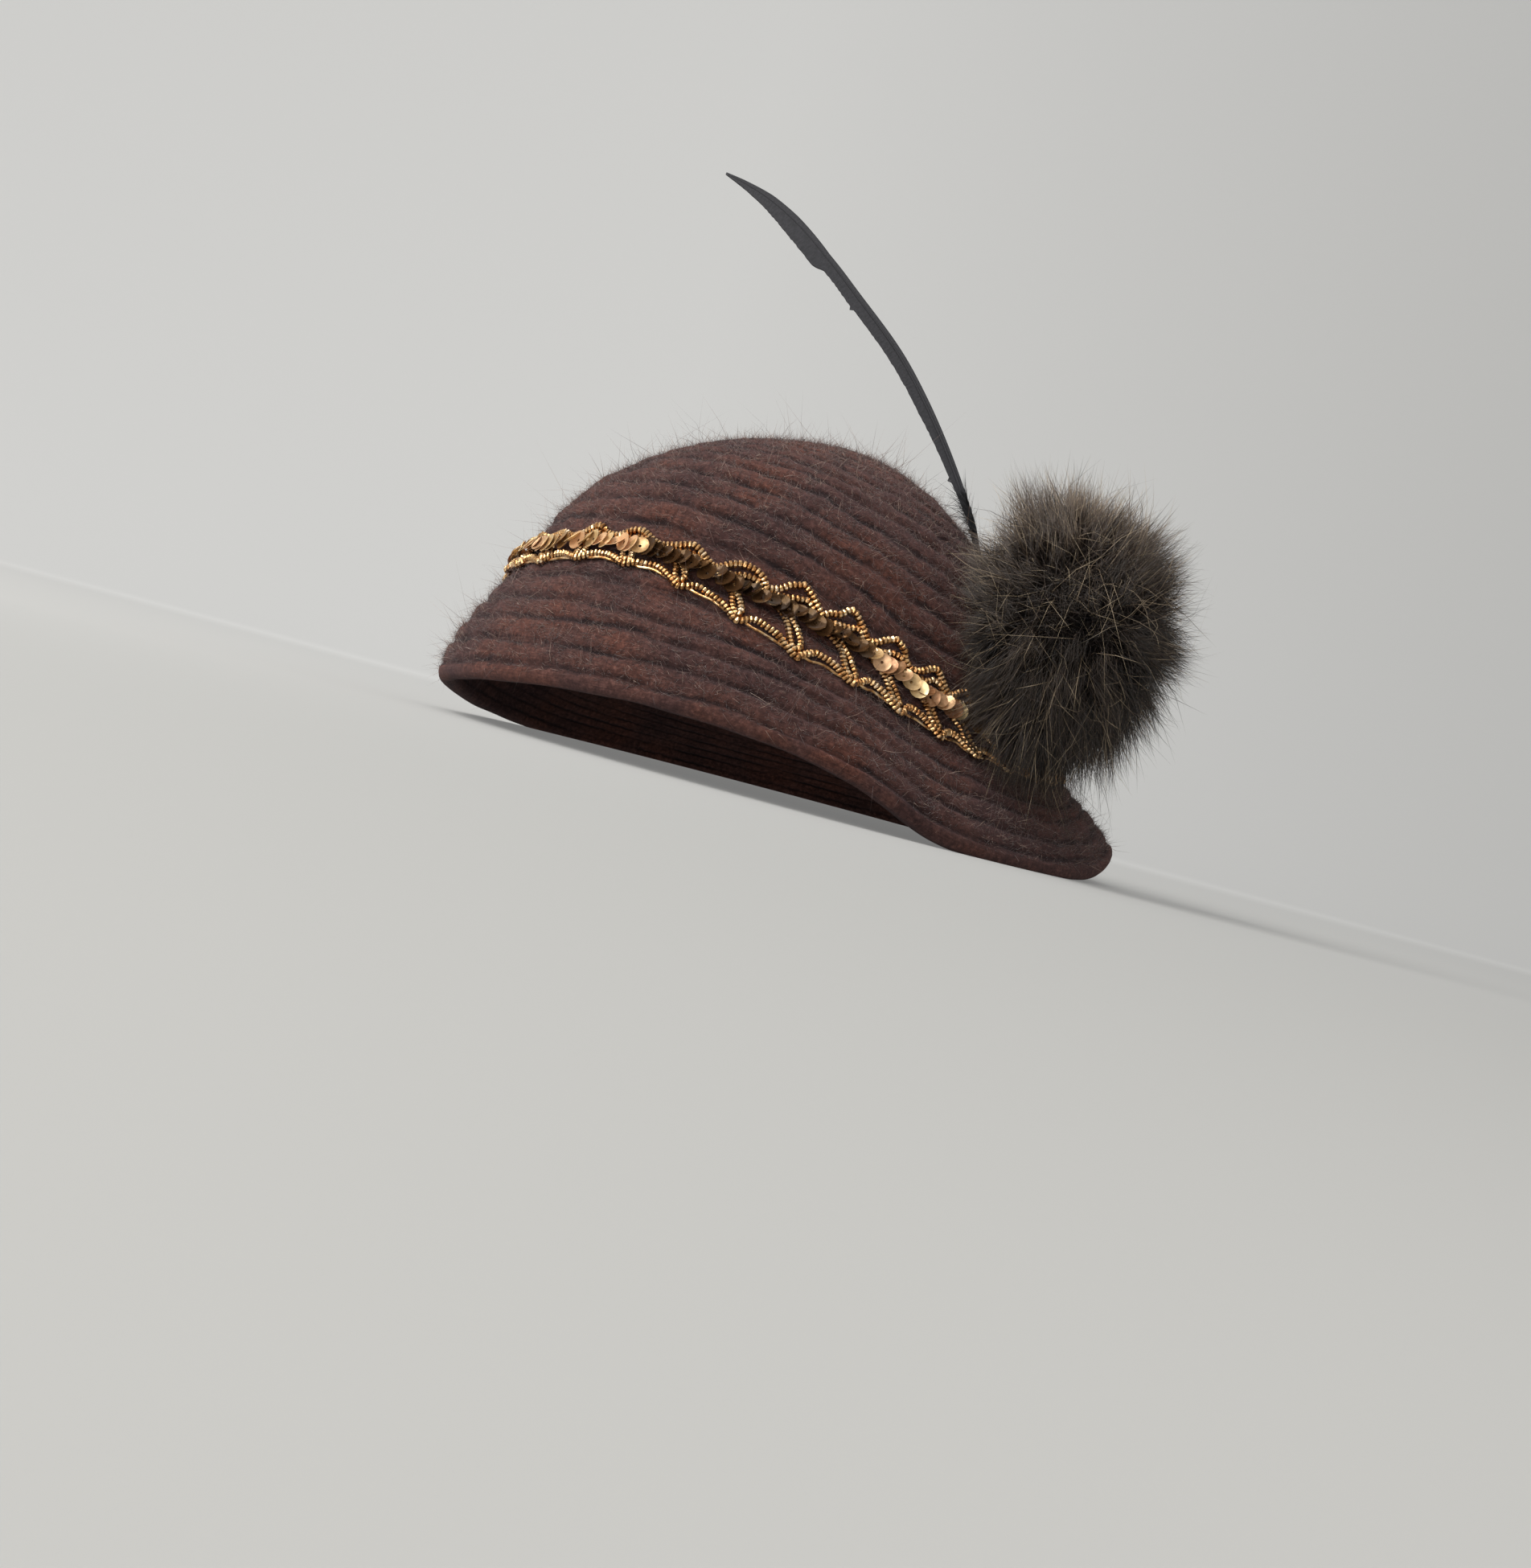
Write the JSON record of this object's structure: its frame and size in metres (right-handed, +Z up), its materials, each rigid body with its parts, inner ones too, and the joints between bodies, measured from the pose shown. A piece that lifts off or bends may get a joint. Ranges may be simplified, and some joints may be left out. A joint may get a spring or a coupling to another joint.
{
  "type": "tilt hat",
  "caption": "Small ribbed wool tilt hat with a wavy sloping brim, a pierced metallic braid with sequins, a fur pompom and a trimmed feather.",
  "frame": {"origin": "centre of the head opening, on the surface that the brim rests on", "axes": "+Z up, -Y towards the front of the hat, +X towards the wearer's left"},
  "size_m": [0.2373, 0.2527, 0.2031],
  "materials": {
    "brushed_wool": "dark brown brushed mohair cord, matte and hairy",
    "metallic_braid": "antique gold gimp, bright and slightly worn",
    "sequins": "pale gold, copper and smoky brown sequins",
    "fur": "dark brown long-haired fur",
    "quill": "black trimmed feather with a satin shaft"
  },
  "bodies": {
    "root": {"hat_body": "brushed_wool", "trim_braid": "metallic_braid", "sequin_row": "sequins", "pompom": "fur", "feather": "quill"}
  },
  "joints": []
}
